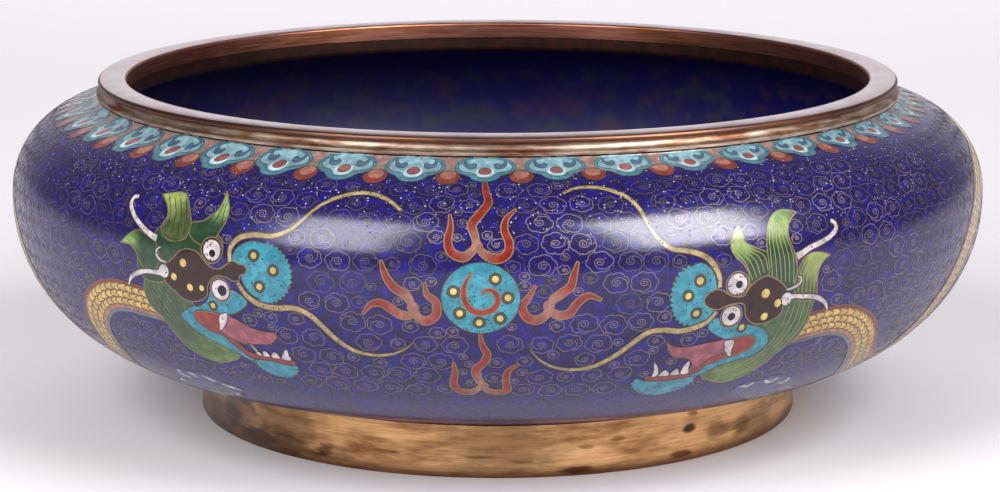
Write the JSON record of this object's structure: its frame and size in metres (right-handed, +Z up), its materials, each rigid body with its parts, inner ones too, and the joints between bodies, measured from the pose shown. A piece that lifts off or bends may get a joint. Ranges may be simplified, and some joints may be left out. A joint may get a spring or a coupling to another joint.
{
  "type": "cloisonne bowl",
  "caption": "Low squat round bowl of copper with enamel on both faces, a moulded metal mouth rim and a plain metal foot ring.",
  "frame": {"origin": "centre of the foot ring's underside, on the surface that the bowl stands on", "axes": "+Z up along the bowl's axis; -Y faces the viewer, with the pearl between the two dragons"},
  "size_m": [0.28, 0.28, 0.0975],
  "materials": {
    "cobalt_enamel": "polished, finely pitted",
    "gilt_copper": "brushed and worn"
  },
  "bodies": {
    "root": {"bowl_body": "cobalt_enamel", "mouth_rim": "gilt_copper", "foot_ring": "gilt_copper"}
  },
  "joints": []
}
